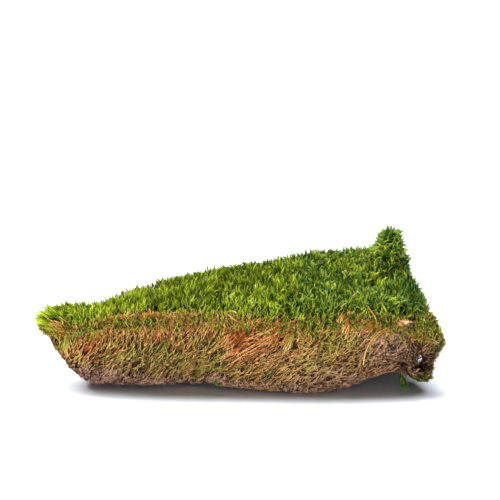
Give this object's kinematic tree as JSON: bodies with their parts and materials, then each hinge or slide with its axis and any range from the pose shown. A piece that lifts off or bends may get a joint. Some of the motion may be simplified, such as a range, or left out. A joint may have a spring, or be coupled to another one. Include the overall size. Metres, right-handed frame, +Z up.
{
  "type": "moss clump",
  "caption": "Slab-like clump of cushion moss: a carpet of curved green leaves on a combed brown mat of dead stems, with an overhanging tip, a tuft and a torn lobe.",
  "frame": {"origin": "on the ground, under the middle of the clump's box", "axes": "+X along the clump's long front to its thick right end, +Y from the front to the rear, +Z up"},
  "size_m": [0.2726, 0.146, 0.0879],
  "materials": {
    "living_moss": "matt green leaf carpet",
    "stem_mat": "matt brown fibrous mat",
    "sprig": "matt dark green leaf",
    "dry_leaf": "matt tan dry leaf",
    "dry_stem": "matt straw-coloured stem"
  },
  "bodies": {
    "root": {"living_moss": "living_moss", "stem_mat": "stem_mat", "hanging_sprig": "sprig", "dry_leaf_flake": "dry_leaf", "loose_stem": "dry_stem"}
  },
  "joints": []
}
